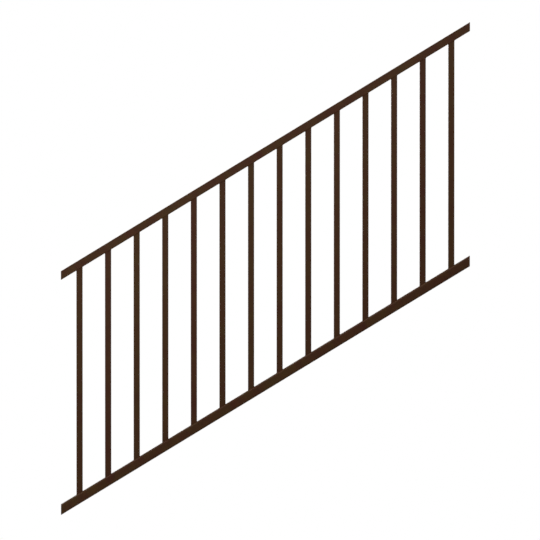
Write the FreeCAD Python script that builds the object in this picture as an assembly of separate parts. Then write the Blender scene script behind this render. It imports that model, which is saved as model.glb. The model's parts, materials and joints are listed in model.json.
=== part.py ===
import FreeCAD, Part
import math
import os

# Raked stair railing section of welded square steel tube, in millimetres.
# X runs level up the stair, Y goes through the panel from front to back, and Z is up.
# The origin is in the middle of the plumb cut at the low end of the bottom rail.
# A height is plumb, and is given where x is 0: everything on the rake climbs from there with x.

# Stair that the panel follows
stair_rise = 177.8
stair_tread = 292.1

# Panel: level run between its plumb-cut ends, and plumb height over both rails
panel_run = 1701.8
panel_height = 1016.0

# Balusters: square tube, spaced level and centred on the run
baluster_size = 25.4
baluster_wall = 1.65
baluster_inside_corner = 0.85
baluster_pitch = 119.06
least_end_margin = 65.0

# Rails: square tube with room inside for the balusters, between their faces and the rail's side walls
rail_wall = 2.1
top_rail_room = 1.075
top_rail_inside_corner = 0.7
bottom_rail_room = 4.25
bottom_rail_inside_corner = 5.4

# Joints: a baluster's end goes through a punched hole in the rail, and is welded along its two side faces
punch_clearance = 0.3
reach_past_wall = 9.5
weld_leg = 1.6
weld_bulge = 0.15
weld_length = 19.0

# The rake, and the plumb length of a unit measured across it
slope = stair_rise / stair_tread
rake = math.atan(slope)
plumb = 1 / math.cos(rake)

# What follows from the sizes
top_rail_size = baluster_size + 2 * (top_rail_room + rail_wall)
bottom_rail_size = baluster_size + 2 * (bottom_rail_room + rail_wall)
bottom_underside = -bottom_rail_size * plumb / 2
bottom_face = bottom_rail_size * plumb / 2
top_face = bottom_underside + panel_height
top_underside = top_face - top_rail_size * plumb
let_in = rail_wall * plumb + reach_past_wall

# Directions
uphill = FreeCAD.Vector(1, 0, 0)
depth = FreeCAD.Vector(0, 1, 0)
up = FreeCAD.Vector(0, 0, 1)
along_rake = FreeCAD.Vector(math.cos(rake), 0, math.sin(rake))
across_rake = FreeCAD.Vector(-math.sin(rake), 0, math.cos(rake))


def rounded_square(middle, side, size, corner):
    """Flat face of a square with round corners, its sides along one unit vector and the panel's depth."""
    half = size / 2
    flat = half - corner
    on_arc = flat + corner * math.sqrt(0.5)
    edges = []
    for a, b in ((side, depth), (depth, -side), (-side, -depth), (-depth, side)):
        edges.append(Part.LineSegment(middle + a * half - b * flat, middle + a * half + b * flat).toShape())
        start = middle + a * half + b * flat
        end = middle + a * flat + b * half
        edges.append(Part.Arc(start, middle + (a + b) * on_arc, end).toShape())
    return Part.Face(Part.Wire(edges))


def tube_section(middle, side, size, wall, inside_corner):
    """Flat face of a square tube's walls."""
    outside = rounded_square(middle, side, size, inside_corner + wall)
    return outside.cut(rounded_square(middle, side, size - 2 * wall, inside_corner))


def raked_slab(low_x, high_x, low, high, width):
    """Solid block with plumb ends, between two planes on the rake."""
    corners = []
    for x, height in ((low_x, low), (high_x, low), (high_x, high), (low_x, high)):
        corners.append(FreeCAD.Vector(x, -width / 2, height + x * slope))
    return Part.Face(Part.makePolygon(corners + corners[:1])).extrude(depth * width)


def raked_rail(underside, size, inside_corner):
    """Square tube on the rake with its underside at a height, cut plumb at both ends of the run."""
    overrun = 2 * size
    start = up * (underside + size * plumb / 2) - along_rake * overrun
    section = tube_section(start, across_rake, size, rail_wall, inside_corner)
    blank = section.extrude(along_rake * (panel_run * plumb + 2 * overrun))
    return blank.common(raked_slab(0, panel_run, underside - size, underside + size * plumb + size, 2 * size))


def mitred_upright(section, x, low, high):
    """Upright solid of a section drawn at the origin, set at x, its two ends cut on the rake at two heights."""
    overrun = 2 * baluster_size
    blank = section.extrude(up * (high - low + 2 * overrun))
    blank.translate(FreeCAD.Vector(x, 0, low + x * slope - overrun))
    return blank.common(raked_slab(x - baluster_size, x + baluster_size, low, high, 2 * baluster_size))


def baluster_places():
    """Where the balusters stand along the run: as many as their pitch lets in, centred."""
    count = int((panel_run - 2 * least_end_margin) / baluster_pitch) + 1
    first = (panel_run - (count - 1) * baluster_pitch) / 2
    return [first + number * baluster_pitch for number in range(count)]


def punched(rail, low, high):
    """A rail with one hole for each baluster, cut between two heights through the wall that lies between them."""
    outline = rounded_square(FreeCAD.Vector(), uphill, baluster_size + 2 * punch_clearance,
                             baluster_inside_corner + baluster_wall + punch_clearance)
    return rail.cut([mitred_upright(outline, x, low, high) for x in baluster_places()])


def bottom_rail():
    rail = raked_rail(bottom_underside, bottom_rail_size, bottom_rail_inside_corner)
    return punched(rail, bottom_face - let_in, bottom_face + rail_wall)


def top_rail():
    rail = raked_rail(top_underside, top_rail_size, top_rail_inside_corner)
    return punched(rail, top_underside - rail_wall, top_underside + let_in)


def baluster(x):
    """Square tube standing in both rails, its ends mitred to the rake inside them."""
    section = tube_section(FreeCAD.Vector(), uphill, baluster_size, baluster_wall, baluster_inside_corner)
    return mitred_upright(section, x, bottom_face - let_in, top_underside + let_in)


def weld_bead(x, side, height, into_gap):
    """Slightly bulging fillet bead in the corner between a baluster's side face and a rail's face."""
    corner_x = x + side * baluster_size / 2
    corner = FreeCAD.Vector(corner_x, -weld_length / 2, height + corner_x * slope)
    on_rail = corner + along_rake * side * weld_leg
    on_baluster = corner + up * into_gap * weld_leg
    middle = (on_rail + on_baluster) / 2
    crown = middle + (middle - corner).normalize() * weld_bulge
    edges = [
        Part.LineSegment(corner, on_rail).toShape(),
        Part.Arc(on_rail, crown, on_baluster).toShape(),
        Part.LineSegment(on_baluster, corner).toShape(),
    ]
    return Part.Face(Part.Wire(edges)).extrude(depth * weld_length)


def welds(height, into_gap):
    """All the beads along one rail, two at each baluster."""
    return Part.makeCompound([weld_bead(x, side, height, into_gap) for x in baluster_places() for side in (-1, 1)])


os.makedirs("parts", exist_ok=True)
bottom_rail().exportStep("parts/bottom_rail.step")
top_rail().exportStep("parts/top_rail.step")
for number, place in enumerate(baluster_places(), 1):
    baluster(place).exportStep(f"parts/baluster_{number:02d}.step")
welds(bottom_face, 1).exportStep("parts/bottom_welds.step")
welds(top_underside, -1).exportStep("parts/top_welds.step")
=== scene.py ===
import json
import math
import random

import bmesh
import bpy
from mathutils import Matrix, Vector, noise


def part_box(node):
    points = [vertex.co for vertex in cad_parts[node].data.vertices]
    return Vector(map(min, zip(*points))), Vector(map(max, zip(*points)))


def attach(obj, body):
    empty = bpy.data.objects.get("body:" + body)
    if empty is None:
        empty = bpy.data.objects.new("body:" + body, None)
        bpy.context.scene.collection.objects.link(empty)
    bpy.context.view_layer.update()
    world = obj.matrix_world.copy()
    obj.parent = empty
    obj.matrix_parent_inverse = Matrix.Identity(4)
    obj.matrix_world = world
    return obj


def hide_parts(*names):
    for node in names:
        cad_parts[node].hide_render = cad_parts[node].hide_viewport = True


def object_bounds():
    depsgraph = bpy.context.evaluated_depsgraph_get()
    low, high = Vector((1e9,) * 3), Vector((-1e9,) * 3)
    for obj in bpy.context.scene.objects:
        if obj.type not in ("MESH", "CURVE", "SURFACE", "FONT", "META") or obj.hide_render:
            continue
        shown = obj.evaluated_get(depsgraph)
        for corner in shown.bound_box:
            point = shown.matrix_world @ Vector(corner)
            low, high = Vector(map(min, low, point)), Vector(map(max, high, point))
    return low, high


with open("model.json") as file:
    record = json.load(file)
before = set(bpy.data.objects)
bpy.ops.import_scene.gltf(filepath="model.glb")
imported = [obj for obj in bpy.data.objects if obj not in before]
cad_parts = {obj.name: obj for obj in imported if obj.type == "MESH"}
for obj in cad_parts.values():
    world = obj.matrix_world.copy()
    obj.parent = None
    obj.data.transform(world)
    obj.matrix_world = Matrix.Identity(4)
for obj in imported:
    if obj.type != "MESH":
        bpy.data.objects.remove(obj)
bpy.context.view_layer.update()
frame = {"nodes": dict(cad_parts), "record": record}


# Bottom rail
# A 1-1/2 in square steel tube on the stair's rake, rolled from strip and seam-welded, its ends cut plumb.
# It is powder-coated dark bronze outside. Powder reaches a little way into the open ends, and past that the
# galvanised wall shows, with the raised bead of the tube's own seam along the side that isn't punched.
ends = {mount["name"]: Vector(mount["pos_m"]) for mount in frame["record"]["mounts"]}
rail_rise = ends["bottom_rail_high_end"] - ends["bottom_rail_low_end"]
panel_run = rail_rise.x
rake = math.atan2(rail_rise.z, rail_rise.x)
along_rake = Vector((math.cos(rake), 0, math.sin(rake)))
across_rake = Vector((-math.sin(rake), 0, math.cos(rake)))

coat_bronze = (0.0327, 0.0109, 0.0016, 1)
coat_gloss = 0.12
coat_roughness = 0.62
rail_clouds = 0.42
rail_mottle = 0.6
coat_flecks = 0.32
film_patch = 0.10
film_blotch = 0.013
hue_patch = 0.05
hue_reach = 0.20
speck_size = 0.0009
speck_threshold = 0.02
speck_full = 0.18
wrinkle_size = 0.0013
wrinkle_share = 0.6
orange_peel_size = 0.0045
orange_peel_share = 0.36
grain_depth = 0.00028
uneven_gloss = 0.35
# Share by which the corners are paler: partly the thinner, worn coat at the edges, partly a painted
# highlight along them.
edge_wear_and_highlight_paler = 0.25
rubbed_smoother = 0.10

powder_reach = 0.11
powder_edge_patch = 0.02
powder_edge_drift = 0.5
first_bare = 0.6
last_powder = 1.7
zinc_light = (0.27, 0.27, 0.265, 1)
zinc_dark = (0.19, 0.19, 0.188, 1)
spangle_size = 0.006
zinc_roughness = 0.42
zinc_metallic = 0.9

rail_wall = 0.0021
seam_sides = 12
seam_width = 0.0018
seam_height = 0.0007
seam_unevenness = 0.0004
seam_ring_step = 0.0025
seam_setback = 0.001

FLOAT = "NodeSocketFloat"
VECTOR = "NodeSocketVector"
COLOUR = "NodeSocketColor"


def feed(tree, value, socket):
    """Gives a socket a plain value, or links it to another socket."""
    if isinstance(value, bpy.types.NodeSocket):
        tree.links.new(value, socket)
    else:
        socket.default_value = value


def reckon(tree, operation, *values):
    """One sum worked out by a Math node."""
    node = tree.nodes.new("ShaderNodeMath")
    node.operation = operation
    for value, socket in zip(values, node.inputs):
        feed(tree, value, socket)
    return node.outputs[0]


def ramp(tree, value, start, end):
    """Rises smoothly from 0 to 1 while a value goes from start to end."""
    node = tree.nodes.new("ShaderNodeMapRange")
    node.interpolation_type = "SMOOTHSTEP"
    for socket, given in (("Value", value), ("From Min", start), ("From Max", end)):
        feed(tree, given, node.inputs[socket])
    return node.outputs["Result"]


def cloud(tree, place, size, detail):
    """Soft noise whose patches are about a size across, in metres."""
    node = tree.nodes.new("ShaderNodeTexNoise")
    node.inputs["Scale"].default_value = 1 / size
    node.inputs["Detail"].default_value = detail
    feed(tree, place, node.inputs["Vector"])
    return node.outputs["Fac"]


def swing(tree, place, size, detail):
    """The same noise, swinging about 0."""
    return reckon(tree, "SUBTRACT", cloud(tree, place, size, detail), 0.5)


def blend_colours(tree, share, first, second):
    """The first colour where the share is 0, and the second where it is 1."""
    node = tree.nodes.new("ShaderNodeMix")
    node.data_type = "RGBA"
    feed(tree, share, node.inputs["Factor"])
    feed(tree, first, node.inputs["A"])
    feed(tree, second, node.inputs["B"])
    return node.outputs["Result"]


def blend_values(tree, share, first, second):
    """The first value where the share is 0, and the second where it is 1."""
    node = tree.nodes.new("ShaderNodeMix")
    feed(tree, share, node.inputs["Factor"])
    feed(tree, first, node.inputs["A"])
    feed(tree, second, node.inputs["B"])
    return node.outputs["Result"]


def new_group(name, takes, gives):
    """An empty shader group with named sockets, its way in and its way out."""
    tree = bpy.data.node_groups.new(name, "ShaderNodeTree")
    for label, kind in takes.items():
        tree.interface.new_socket(label, in_out="INPUT", socket_type=kind)
    for label, kind in gives.items():
        tree.interface.new_socket(label, in_out="OUTPUT", socket_type=kind)
    return tree, tree.nodes.new("NodeGroupInput").outputs, tree.nodes.new("NodeGroupOutput").inputs


def use_group(tree, group, **values):
    """A group placed in a material. A socket's name is its word with a capital."""
    node = tree.nodes.new("ShaderNodeGroup")
    node.node_tree = group
    for label, value in values.items():
        feed(tree, value, node.inputs[label.capitalize().replace("_", " ")])
    return node.outputs


def powder_colour():
    """Bronze powder: clouds and mottle of thicker film, drifting hue, fine specks, and paler corners,
    partly edge wear and partly a painted highlight.
    """
    tree, given, result = new_group(
        "powder_colour",
        {"Place": VECTOR, "Coat": COLOUR, "Clouds": FLOAT, "Mottle": FLOAT, "Flecks": FLOAT,
         "Rubbed": FLOAT},
        {"Colour": COLOUR},
    )
    place = given["Place"]
    film = swing(tree, place, film_patch, detail=3)
    blotch = swing(tree, place, film_blotch, detail=2)
    drift = swing(tree, place, hue_patch, detail=2)
    speckle = swing(tree, place, speck_size, detail=2)
    light_speck = ramp(tree, speckle, speck_threshold, speck_full)
    dark_speck = ramp(tree, speckle, -speck_threshold, -speck_full)
    fleck = reckon(tree, "SUBTRACT", light_speck, dark_speck)
    value = reckon(tree, "MULTIPLY_ADD", film, given["Clouds"], 1)
    value = reckon(tree, "MULTIPLY_ADD", blotch, given["Mottle"], value)
    value = reckon(tree, "MULTIPLY_ADD", fleck, given["Flecks"], value)
    # Paler at the corners: partly edge wear, partly a painted highlight along the rounded edges.
    value = reckon(tree, "MULTIPLY_ADD", given["Rubbed"], edge_wear_and_highlight_paler, value)
    hue_swing = reckon(tree, "MULTIPLY", given["Clouds"], hue_reach)
    tint = tree.nodes.new("ShaderNodeHueSaturation")
    tree.links.new(reckon(tree, "MULTIPLY_ADD", drift, hue_swing, 0.5), tint.inputs["Hue"])
    tree.links.new(value, tint.inputs["Value"])
    tree.links.new(given["Coat"], tint.inputs["Color"])
    tree.links.new(tint.outputs["Color"], result["Colour"])
    return tree


def powder_grain():
    """Fine wrinkled texture that the powder bakes to, and how it changes the gloss."""
    tree, given, result = new_group(
        "powder_grain",
        {"Place": VECTOR, "Roughness": FLOAT, "Rubbed": FLOAT},
        {"Height": FLOAT, "Roughness": FLOAT},
    )
    wrinkle = cloud(tree, given["Place"], wrinkle_size, detail=3)
    orange_peel = cloud(tree, given["Place"], orange_peel_size, detail=1)
    height = reckon(tree, "MULTIPLY", wrinkle, wrinkle_share)
    height = reckon(tree, "MULTIPLY_ADD", orange_peel, orange_peel_share, height)
    about_middle = reckon(tree, "SUBTRACT", wrinkle, 0.5)
    gloss = reckon(tree, "MULTIPLY_ADD", about_middle, uneven_gloss, given["Roughness"])
    gloss = reckon(tree, "MULTIPLY_ADD", given["Rubbed"], -rubbed_smoother, gloss)
    tree.links.new(height, result["Height"])
    tree.links.new(gloss, result["Roughness"])
    return tree


def tube_corner():
    """Where a square tube's rounded corner is, from two measures across the tube."""
    tree, given, result = new_group(
        "tube_corner",
        {"One way": FLOAT, "Other way": FLOAT, "Half size": FLOAT, "Corner": FLOAT},
        {"Rubbed": FLOAT},
    )
    start = reckon(tree, "SUBTRACT", given["Half size"], given["Corner"])
    one = ramp(tree, reckon(tree, "ABSOLUTE", given["One way"]), start, given["Half size"])
    other = ramp(tree, reckon(tree, "ABSOLUTE", given["Other way"]), start, given["Half size"])
    # This corner mask makes the coat smoother there, and paler, partly as edge wear and partly as a painted
    # highlight.
    tree.links.new(reckon(tree, "MULTIPLY", one, other), result["Rubbed"])
    return tree


def tube_inside():
    """Inside of an open tube, and where no powder has reached there."""
    tree, given, result = new_group(
        "tube_inside",
        {"Place": VECTOR, "Half size": FLOAT, "Corner": FLOAT, "Wall": FLOAT, "From end": FLOAT,
         "Reach": FLOAT},
        {"Bare": FLOAT, "Spangle": FLOAT},
    )
    split = tree.nodes.new("ShaderNodeSeparateXYZ")
    tree.links.new(given["Place"], split.inputs["Vector"])
    flat = reckon(tree, "SUBTRACT", given["Half size"], given["Corner"])
    one = reckon(tree, "SUBTRACT", reckon(tree, "ABSOLUTE", split.outputs["Y"]), flat)
    other = reckon(tree, "SUBTRACT", reckon(tree, "ABSOLUTE", split.outputs["Z"]), flat)
    one_squared = reckon(tree, "POWER", reckon(tree, "MAXIMUM", one, 0), 2)
    other_squared = reckon(tree, "POWER", reckon(tree, "MAXIMUM", other, 0), 2)
    round_part = reckon(tree, "SQRT", reckon(tree, "ADD", one_squared, other_squared))
    flat_part = reckon(tree, "MINIMUM", reckon(tree, "MAXIMUM", one, other), 0)
    from_axis = reckon(tree, "ADD", round_part, flat_part)
    mid_wall = reckon(tree, "MULTIPLY_ADD", given["Wall"], -0.5, given["Corner"])
    inside = reckon(tree, "LESS_THAN", from_axis, mid_wall)
    patchy = cloud(tree, given["Place"], powder_edge_patch, detail=3)
    uneven_reach = reckon(tree, "MULTIPLY", patchy, given["Reach"])
    drifted = reckon(tree, "MULTIPLY_ADD", uneven_reach, powder_edge_drift, given["From end"])
    fade_from = reckon(tree, "MULTIPLY", given["Reach"], first_bare)
    fade_to = reckon(tree, "MULTIPLY", given["Reach"], last_powder)
    far_in = ramp(tree, drifted, fade_from, fade_to)
    tree.links.new(reckon(tree, "MULTIPLY", inside, far_in), result["Bare"])
    tree.links.new(cloud(tree, given["Place"], spangle_size, detail=2), result["Spangle"])
    return tree


powder_colour_group = powder_colour()
powder_grain_group = powder_grain()
tube_corner_group = tube_corner()
tube_inside_group = tube_inside()


def new_finish(name):
    """A new material, its shader, and the point on the piece that it colours."""
    material = bpy.data.materials.new(name)
    material.use_nodes = True
    tree = material.node_tree
    shader = tree.nodes["Principled BSDF"]
    place = tree.nodes.new("ShaderNodeTexCoord").outputs["Object"]
    return material, tree, shader, place


def raise_grain(tree, shader, height, depth):
    """Lets a height from 0 to 1 stand up from the surface by as much as a depth."""
    bump = tree.nodes.new("ShaderNodeBump")
    bump.inputs["Distance"].default_value = depth
    tree.links.new(height, bump.inputs["Height"])
    tree.links.new(bump.outputs["Normal"], shader.inputs["Normal"])


def rail_coat(name, low_end, size, outside_corner):
    """Powder coat of one rail, with its inside fading to bare zinc from the open ends."""
    material, tree, shader, place = new_finish(name)
    turned = tree.nodes.new("ShaderNodeMapping")
    turned.inputs["Rotation"].default_value = (0, rake, 0)
    turned.inputs["Location"].default_value = (0, 0, -low_end.dot(across_rake))
    tree.links.new(place, turned.inputs["Vector"])
    own_place = turned.outputs["Vector"]
    own = tree.nodes.new("ShaderNodeSeparateXYZ")
    tree.links.new(own_place, own.inputs["Vector"])
    level = tree.nodes.new("ShaderNodeSeparateXYZ")
    tree.links.new(place, level.inputs["Vector"])
    to_high_end = reckon(tree, "SUBTRACT", panel_run, level.outputs["X"])
    from_end = reckon(tree, "MINIMUM", level.outputs["X"], to_high_end)
    corner = use_group(tree, tube_corner_group, one_way=own.outputs["Y"], other_way=own.outputs["Z"],
                       half_size=size / 2, corner=outside_corner)
    colour = use_group(tree, powder_colour_group, place=own_place, coat=coat_bronze, clouds=rail_clouds,
                       mottle=rail_mottle, flecks=coat_flecks, rubbed=corner["Rubbed"])
    grain = use_group(tree, powder_grain_group, place=own_place, roughness=coat_roughness,
                      rubbed=corner["Rubbed"])
    inside = use_group(tree, tube_inside_group, place=own_place, half_size=size / 2, corner=outside_corner,
                       wall=rail_wall, from_end=from_end, reach=powder_reach)
    zinc = blend_colours(tree, inside["Spangle"], zinc_dark, zinc_light)
    surface = blend_colours(tree, inside["Bare"], colour["Colour"], zinc)
    roughness = blend_values(tree, inside["Bare"], grain["Roughness"], zinc_roughness)
    tree.links.new(surface, shader.inputs["Base Color"])
    tree.links.new(roughness, shader.inputs["Roughness"])
    tree.links.new(reckon(tree, "MULTIPLY", inside["Bare"], zinc_metallic), shader.inputs["Metallic"])
    shader.inputs["Specular IOR Level"].default_value = coat_gloss
    raise_grain(tree, shader, grain["Height"], grain_depth)
    return material


def give_finish(node_name, finish):
    """Puts a finish on a CAD node, in place of its own."""
    node = frame["nodes"][node_name]
    node.data.materials.clear()
    node.data.materials.append(finish)


def add_piece(name, work, finish):
    """Makes an object of a bmesh, at the origin, with its finish."""
    bmesh.ops.recalc_face_normals(work, faces=work.faces)
    mesh = bpy.data.meshes.new(name)
    work.to_mesh(mesh)
    work.free()
    mesh.materials.append(finish)
    piece = bpy.data.objects.new(name, mesh)
    bpy.context.scene.collection.objects.link(piece)
    return piece


def seam_bead(name, low_end, wall_side, size, finish):
    """Uneven ridge of the tube's seam weld, along an inside wall, cut plumb just inside its ends."""
    length = panel_run / math.cos(rake)
    on_wall = low_end + across_rake * wall_side * (size / 2 - rail_wall)
    middle = on_wall + along_rake * length / 2
    turn = Matrix((across_rake, Vector((0, 1, 0)), along_rake)).transposed().to_4x4()
    work = bmesh.new()
    bmesh.ops.create_cone(work, cap_ends=True, segments=seam_sides, radius1=seam_width / 2,
                          radius2=seam_width / 2, depth=length + size,
                          matrix=Matrix.Translation(middle) @ turn)
    for cut, way in ((seam_setback, -1), (panel_run - seam_setback, 1)):
        everything = work.verts[:] + work.edges[:] + work.faces[:]
        kept = bmesh.ops.bisect_plane(work, geom=everything, plane_co=(cut, 0, 0), plane_no=(way, 0, 0),
                                      clear_outer=True)
        cut_edges = [item for item in kept["geom_cut"] if isinstance(item, bmesh.types.BMEdge)]
        bmesh.ops.contextual_create(work, geom=cut_edges)
    sides = [edge for edge in work.edges if edge.calc_length() > length / 2]
    bmesh.ops.subdivide_edges(work, edges=sides, cuts=int(length / seam_ring_step), use_grid_fill=True)
    for vert in work.verts:
        from_wall = (vert.co - on_wall).dot(across_rake) * -wall_side
        if from_wall > 0:
            crest = noise.noise(vert.co / seam_width) * seam_unevenness + seam_height
            vert.co -= across_rake * wall_side * from_wall * (crest / (seam_width / 2) - 1)
    for face in work.faces:
        face.smooth = len(face.verts) == 4
    piece = add_piece(name, work, finish)
    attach(piece, "root")
    return piece


bottom_low, bottom_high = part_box("bottom_rail")
bottom_size = bottom_high.y - bottom_low.y
bottom_corner = 0.0075
bottom_coat = rail_coat("bottom_rail_bronze", ends["bottom_rail_low_end"], bottom_size, bottom_corner)
give_finish("bottom_rail", bottom_coat)
bottom_seam = seam_bead("bottom_rail_seam", ends["bottom_rail_low_end"], -1, bottom_size, bottom_coat)


# Top rail
# A 1-1/4 in square steel tube on the same rake, plumb-cut at both ends like the bottom one.
# It has the same baked coat. Its underside is punched for the balusters, so its seam is along the top wall.
top_low, top_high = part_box("top_rail")
top_size = top_high.y - top_low.y
top_corner = 0.0028
top_coat = rail_coat("top_rail_bronze", ends["top_rail_low_end"], top_size, top_corner)
give_finish("top_rail", top_coat)
top_seam = seam_bead("top_rail_seam", ends["top_rail_low_end"], 1, top_size, top_coat)


# Balusters
# Fourteen 1 in square steel tubes, mitred to the rake and let into the rails' punched holes.
# They are coated with the rails, standing in a row on the line, so each takes the film a touch differently.
baluster_names = sorted(name for name in frame["nodes"] if name.startswith("baluster_"))
baluster_middles = [sum(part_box(name), Vector()).x / 2 for name in baluster_names]
baluster_pitch = (baluster_middles[-1] - baluster_middles[0]) / (len(baluster_middles) - 1)
baluster_low, baluster_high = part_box(baluster_names[0])
baluster_size = baluster_high.y - baluster_low.y
baluster_corner = 0.0025
baluster_clouds = 0.30
baluster_mottle = 0.4
hue_spread = 0.022
shade_least = 0.95
shade_spread = 0.08


def baluster_place():
    """Which baluster a point is on, and its place measured from that baluster's middle."""
    tree, given, result = new_group(
        "baluster_place",
        {"Place": VECTOR},
        {"Number": FLOAT, "From middle": FLOAT},
    )
    split = tree.nodes.new("ShaderNodeSeparateXYZ")
    tree.links.new(given["Place"], split.inputs["Vector"])
    from_first = reckon(tree, "SUBTRACT", split.outputs["X"], baluster_middles[0])
    number = reckon(tree, "ROUND", reckon(tree, "DIVIDE", from_first, baluster_pitch))
    tree.links.new(number, result["Number"])
    tree.links.new(reckon(tree, "MULTIPLY_ADD", number, -baluster_pitch, from_first), result["From middle"])
    return tree


def baluster_bronze():
    """Powder coat of all the balusters, with a small change of shade from one to the next."""
    material, tree, shader, place = new_finish("baluster_bronze")
    own = use_group(tree, baluster_place(), place=place)
    split = tree.nodes.new("ShaderNodeSeparateXYZ")
    tree.links.new(place, split.inputs["Vector"])
    corner = use_group(tree, tube_corner_group, one_way=own["From middle"], other_way=split.outputs["Y"],
                       half_size=baluster_size / 2, corner=baluster_corner)
    draw = tree.nodes.new("ShaderNodeTexWhiteNoise")
    draw.noise_dimensions = "1D"
    tree.links.new(own["Number"], draw.inputs["W"])
    drawn = tree.nodes.new("ShaderNodeSeparateColor")
    tree.links.new(draw.outputs["Color"], drawn.inputs["Color"])
    shade = tree.nodes.new("ShaderNodeHueSaturation")
    shade.inputs["Color"].default_value = coat_bronze
    hue = reckon(tree, "MULTIPLY_ADD", drawn.outputs["Red"], hue_spread, 0.5 - hue_spread / 2)
    value = reckon(tree, "MULTIPLY_ADD", drawn.outputs["Green"], shade_spread, shade_least)
    tree.links.new(hue, shade.inputs["Hue"])
    tree.links.new(value, shade.inputs["Value"])
    colour = use_group(tree, powder_colour_group, place=place, coat=shade.outputs["Color"],
                       clouds=baluster_clouds, mottle=baluster_mottle, flecks=coat_flecks,
                       rubbed=corner["Rubbed"])
    grain = use_group(tree, powder_grain_group, place=place, roughness=coat_roughness,
                      rubbed=corner["Rubbed"])
    tree.links.new(colour["Colour"], shader.inputs["Base Color"])
    tree.links.new(grain["Roughness"], shader.inputs["Roughness"])
    shader.inputs["Specular IOR Level"].default_value = coat_gloss
    raise_grain(tree, shader, grain["Height"], grain_depth)
    return material


baluster_coat = baluster_bronze()
for name in baluster_names:
    give_finish(name, baluster_coat)


# Welds
# A short fillet bead on each side face of a baluster where it enters a rail, laid before the coat.
# The beads keep the ripple of the weld pool, one small scallop after another, and run out at their ends.
ripple_pitch = 0.0011
ripple_height = 0.00016
rings_per_ripple = 4
scallop_lean = 0.5
tip_length = 0.0018
least_tip = 0.15
same_point = 0.00001
touching = 0.0001
sharp_angle = math.radians(50)
bead_seed = 11
bead_flecks = 0.28
crest_paler = 0.2
crest_smoother = 0.3


def weld_bronze():
    """The same coat, a little paler and smoother all over the bead, with finer grain."""
    material, tree, shader, place = new_finish("weld_bronze")
    colour = use_group(tree, powder_colour_group, place=place, coat=coat_bronze, clouds=baluster_clouds,
                       mottle=baluster_mottle, flecks=bead_flecks, rubbed=crest_paler)
    grain = use_group(tree, powder_grain_group, place=place, roughness=coat_roughness,
                      rubbed=crest_smoother)
    tree.links.new(colour["Colour"], shader.inputs["Base Color"])
    tree.links.new(grain["Roughness"], shader.inputs["Roughness"])
    shader.inputs["Specular IOR Level"].default_value = coat_gloss
    raise_grain(tree, shader, grain["Height"], grain_depth / 2)
    return material


def rippled_beads(name, node_name, finish):
    """The beads along one rail, ringed across their length, with scalloped crowns and tapered ends."""
    work = bmesh.new()
    work.from_mesh(frame["nodes"][node_name].data)
    bmesh.ops.remove_doubles(work, verts=work.verts, dist=same_point)
    low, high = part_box(node_name)
    step = ripple_pitch / rings_per_ripple
    for ring in range(1, int((high.y - low.y) / step)):
        everything = work.verts[:] + work.edges[:] + work.faces[:]
        ring_place = (0, low.y + ring * step, 0)
        bmesh.ops.bisect_plane(work, geom=everything, plane_co=ring_place, plane_no=(0, 1, 0))
    work.normal_update()
    faces_on_rail = [vert.co.dot(across_rake) for vert in work.verts]
    rail_face = min(faces_on_rail) if node_name.startswith("bottom") else max(faces_on_rail)
    chance = random.Random(bead_seed)
    starts = [chance.uniform(0, ripple_pitch) for _ in baluster_middles * 2]
    for vert in work.verts:
        number = round((vert.co.x - baluster_middles[0]) / baluster_pitch)
        from_middle = vert.co.x - baluster_middles[number]
        side = math.copysign(1, from_middle)
        off_rail = abs(vert.co.dot(across_rake) - rail_face)
        off_baluster = abs(from_middle) - baluster_size / 2
        if off_rail > touching and off_baluster > touching:
            along = vert.co.y + starts[2 * number + (side > 0)] + scallop_lean * off_rail
            vert.co += vert.normal * ripple_height * abs(math.sin(math.pi * along / ripple_pitch))
        from_tip = max(min(vert.co.y - low.y, high.y - vert.co.y), 0)
        if from_tip < tip_length:
            root_x = baluster_middles[number] + side * baluster_size / 2
            root = Vector((root_x, vert.co.y, (rail_face + root_x * math.sin(rake)) / math.cos(rake)))
            fullness = math.sqrt(1 - (1 - from_tip / tip_length) ** 2)
            vert.co = root + (vert.co - root) * max(fullness, least_tip)
    for face in work.faces:
        face.smooth = True
    piece = add_piece(name, work, finish)
    piece.data.set_sharp_from_angle(angle=sharp_angle)
    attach(piece, "root")
    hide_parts(node_name)
    return piece


weld_coat = weld_bronze()
rippled_beads("bottom_weld_beads", "bottom_welds", weld_coat)
rippled_beads("top_weld_beads", "top_welds", weld_coat)


# Floor
# A wide white studio sheet a foot below the lowest corner. Near the panel it is plain matt card, which
# takes the panel's shadow, and further out it fades into the white background.
low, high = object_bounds()
floor_drop = 0.30
floor_reach = 40.0
floor_grey = (0.55, 0.55, 0.545, 1)
floor_roughness = 0.95
floor_gloss = 0.1
near_white = 0.42
fade_start = 0.5
fade_end = 3.0


def seen_directly(tree):
    """1 for what the camera sees, straight, mirrored or through glass, and 0 for light on the object."""
    path = tree.nodes.new("ShaderNodeLightPath").outputs
    seen = reckon(tree, "MAXIMUM", path["Is Camera Ray"], path["Is Glossy Ray"])
    return reckon(tree, "MAXIMUM", seen, path["Is Transmission Ray"])


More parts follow.
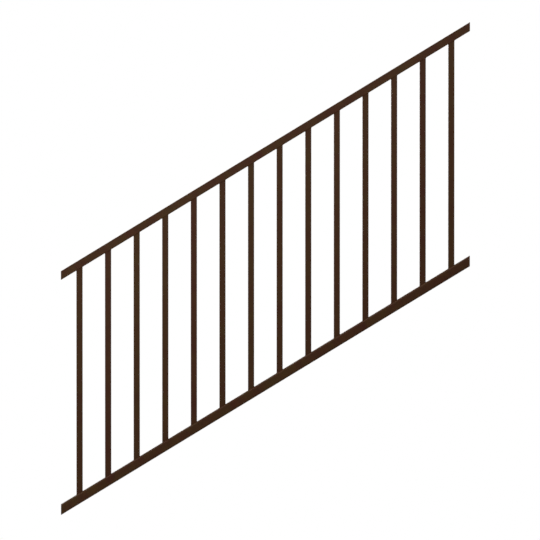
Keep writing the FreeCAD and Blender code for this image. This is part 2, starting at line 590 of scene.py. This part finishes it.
def floor_card():
    """Pale matt card that turns into the white background away from the panel."""
    material, tree, shader, place = new_finish("floor_card")
    shader.inputs["Base Color"].default_value = floor_grey
    shader.inputs["Roughness"].default_value = floor_roughness
    shader.inputs["Specular IOR Level"].default_value = floor_gloss
    white = tree.nodes.new("ShaderNodeEmission")
    white.inputs["Strength"].default_value = 1.0
    split = tree.nodes.new("ShaderNodeSeparateXYZ")
    tree.links.new(place, split.inputs["Vector"])
    from_middle = reckon(tree, "ABSOLUTE", reckon(tree, "SUBTRACT", split.outputs["X"], panel_run / 2))
    past_end = reckon(tree, "MAXIMUM", reckon(tree, "SUBTRACT", from_middle, panel_run / 2), 0)
    past_end_squared = reckon(tree, "POWER", past_end, 2)
    across_squared = reckon(tree, "POWER", split.outputs["Y"], 2)
    away = reckon(tree, "SQRT", reckon(tree, "ADD", past_end_squared, across_squared))
    fade = blend_values(tree, ramp(tree, away, fade_start, fade_end), near_white, 1.0)
    share = reckon(tree, "MULTIPLY", fade, seen_directly(tree))
    mix = tree.nodes.new("ShaderNodeMixShader")
    tree.links.new(share, mix.inputs[0])
    tree.links.new(shader.outputs[0], mix.inputs[1])
    tree.links.new(white.outputs[0], mix.inputs[2])
    tree.links.new(mix.outputs[0], tree.nodes["Material Output"].inputs["Surface"])
    return material


floor_place = Matrix.Translation((panel_run / 2, 0, low.z - floor_drop))
work = bmesh.new()
bmesh.ops.create_grid(work, x_segments=1, y_segments=1, size=floor_reach, matrix=floor_place)
floor = add_piece("studio_floor", work, floor_card())


# Light
# Plain soft studio light: an even white surround, a long strip in front of the panel and just above its top
# rail, which leaves the foot a little darker, a wide panel overhead, and a weaker one behind.
surround_level = 0.465
key_power = 26.0
key_size = (4.2, 0.4)
key_ahead = 1.4
key_above = 0.28
overhead_power = 80.0
overhead_size = (3.6, 1.6)
overhead_above = 2.4
back_power = 60.0
back_size = (3.6, 1.0)
back_behind = 2.6
back_above = 0.9

world = bpy.data.worlds.new("white_surround")
bpy.context.scene.world = world
world.use_nodes = True
tree = world.node_tree
tree.nodes["Background"].inputs["Color"].default_value = (1, 1, 1, 1)
level = blend_values(tree, seen_directly(tree), surround_level, 1.0)
tree.links.new(level, tree.nodes["Background"].inputs["Strength"])


def strip_lamp(name, place, aim, size, power):
    """A long flat lamp, its length along the rake, turned to face a point."""
    data = bpy.data.lights.new(name, "AREA")
    data.shape = "RECTANGLE"
    data.size, data.size_y = size
    data.energy = power
    facing_back = (place - aim).normalized()
    side = along_rake.cross(facing_back).normalized() * -1
    lamp = bpy.data.objects.new(name, data)
    bpy.context.scene.collection.objects.link(lamp)
    turn = Matrix((along_rake, side, facing_back)).transposed().to_4x4()
    lamp.matrix_world = Matrix.Translation(place) @ turn


middle = (low + high) / 2
half_across = (ends["top_rail_low_end"] - ends["bottom_rail_low_end"]).dot(across_rake) / 2
front = Vector((0, -1, 0))
key_place = middle + across_rake * (half_across + key_above) + front * key_ahead
overhead_place = middle + across_rake * overhead_above
back_place = middle + across_rake * back_above - front * back_behind
strip_lamp("key", key_place, middle, key_size, key_power)
strip_lamp("overhead", overhead_place, middle, overhead_size, overhead_power)
strip_lamp("behind", back_place, middle, back_size, back_power)


# View
# The photograph looks square at the front of the panel from far off, so nothing narrows with distance.
# In it, 540 px wide and high, the run between the rails' plumb ends fills 408.7 px.
photo_size = 540
left_end_px = 61.0
right_end_px = 469.7
lowest_corner_px = 515.07
camera_elevation = math.radians(1.0)
camera_lens = 400
sensor_width = 36
seen_up_to = 200
metres_per_px = panel_run / (right_end_px - left_end_px)
view_centre = Vector((
    low.x + (photo_size / 2 - left_end_px) * metres_per_px,
    0,
    low.z + (lowest_corner_px - photo_size / 2) * metres_per_px,
))
camera_data = bpy.data.cameras.new("front_camera")
camera_data.lens = camera_lens
camera_data.sensor_width = sensor_width
camera_data.clip_end = seen_up_to
camera_distance = photo_size * metres_per_px * camera_lens / sensor_width
camera = bpy.data.objects.new("front_camera", camera_data)
bpy.context.scene.collection.objects.link(camera)
to_camera = Vector((0, -math.cos(camera_elevation), math.sin(camera_elevation)))
camera.location = view_centre + to_camera * camera_distance
camera.rotation_euler = (math.radians(90) - camera_elevation, 0, 0)
bpy.context.scene.camera = camera
bpy.context.scene.view_settings.view_transform = "Standard"
